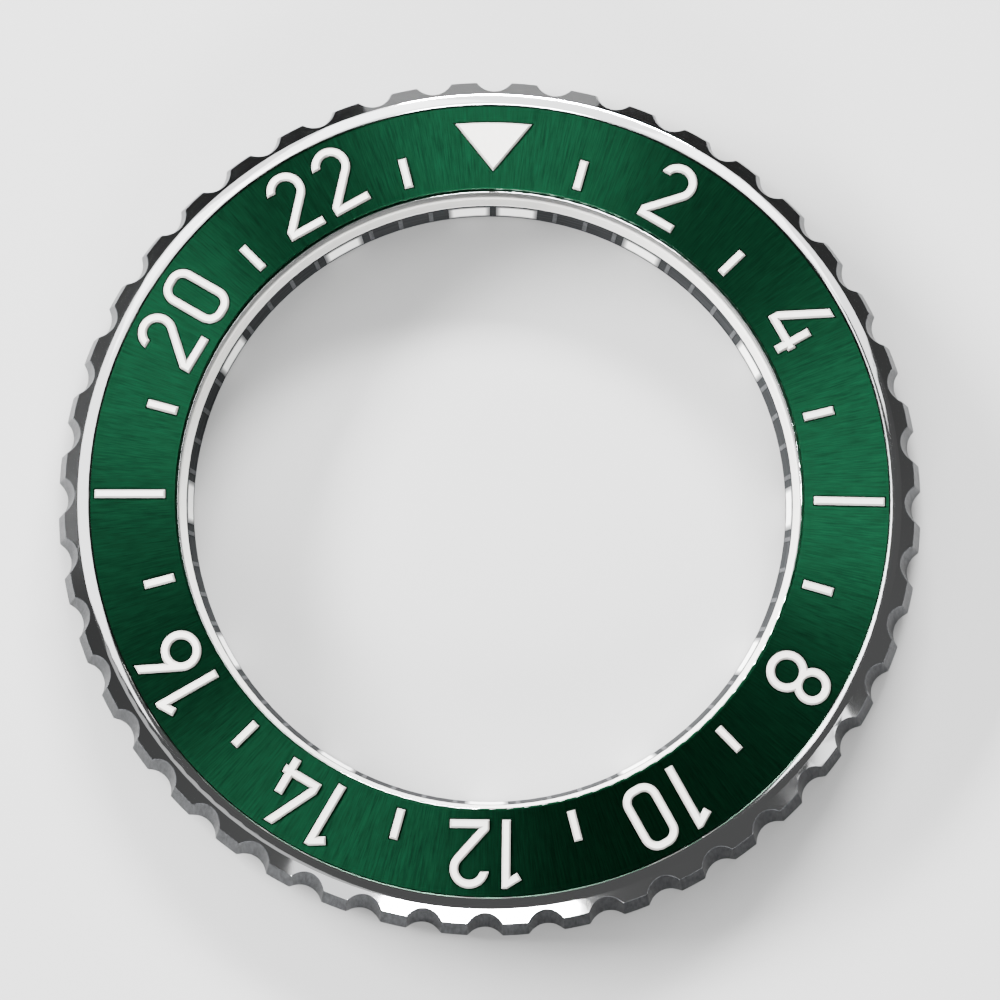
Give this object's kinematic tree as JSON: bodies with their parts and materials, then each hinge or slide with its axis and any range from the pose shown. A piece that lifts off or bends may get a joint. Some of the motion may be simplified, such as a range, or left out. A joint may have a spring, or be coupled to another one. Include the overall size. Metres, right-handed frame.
{
  "type": "rotating watch bezel",
  "caption": "Rotating 24-hour watch bezel with a knurled steel ring, green brushed metal insert with inlaid white numerals, and its seat ring with minute-track flange",
  "frame": {"origin": "centre of the seat ring's underside, on the bezel's turning axis", "axes": "right-handed; +Z out of the dial along the turning axis, +Y towards 12 o'clock (the triangle), +X towards 3 o'clock (the numeral 6's bar)"},
  "size_m": [0.0412, 0.0412, 0.0034],
  "materials": {
    "polished_steel": "mirror-polished stainless steel",
    "turned_steel": "fine-turned stainless steel",
    "spring_steel": "drawn and ground spring steel",
    "green_metal": "dark green anodised aluminium with radial sunray brushing",
    "marker_white": "warm white lacquered inlays with bevelled edges",
    "track_white": "white printed lacquer",
    "track_grey": "thin grey printed lacquer",
    "flange_grey": "satin dark grey lacquered metal",
    "white_nylon": "off-white moulded nylon",
    "black_rubber": "black nitrile rubber",
    "adhesive": "grey double-sided adhesive film"
  },
  "bodies": {
    "seat": {"seat_ring": "turned_steel", "case_seal": "black_rubber", "inner_flange": "flange_grey", "hour_blocks": "track_white", "minute_marks": "track_grey", "crystal_gasket": "white_nylon", "friction_gasket": "black_rubber", "retaining_wire": "spring_steel", "click_spring_1": "spring_steel", "click_spring_2": "spring_steel", "click_spring_3": "spring_steel"},
    "bezel": {"bezel_ring": "polished_steel", "insert": "green_metal", "insert_adhesive": "adhesive", "click_ring": "turned_steel", "triangle_24": "marker_white", "bar_6": "marker_white", "bar_18": "marker_white", "hour_ticks": "marker_white", "number_2": "marker_white", "number_4": "marker_white", "number_8": "marker_white", "number_10": "marker_white", "number_12": "marker_white", "number_14": "marker_white", "number_16": "marker_white", "number_20": "marker_white", "number_22": "marker_white"},
    "ball_1": {"click_ball_1": "spring_steel"},
    "ball_2": {"click_ball_2": "spring_steel"},
    "ball_3": {"click_ball_3": "spring_steel"}
  },
  "joints": [
    {"name": "bezel_turn", "type": "hinge", "parent": "seat", "child": "bezel", "pos_m": [0, 0, 0], "axis": [0, 0, 1], "continuous": true},
    {"name": "ball_1_click", "type": "slide", "parent": "seat", "child": "ball_1", "axis": [0, 0, 1], "range_m": [-0.0002, 0], "stiffness_N_per_m": 500, "springref_m": 0.0002, "deforming": ["click_spring_1"]},
    {"name": "ball_2_click", "type": "slide", "parent": "seat", "child": "ball_2", "axis": [0, 0, 1], "range_m": [-0.0002, 0], "stiffness_N_per_m": 500, "springref_m": 0.0002, "deforming": ["click_spring_2"]},
    {"name": "ball_3_click", "type": "slide", "parent": "seat", "child": "ball_3", "axis": [0, 0, 1], "range_m": [-0.0002, 0], "stiffness_N_per_m": 500, "springref_m": 0.0002, "deforming": ["click_spring_3"]}
  ]
}
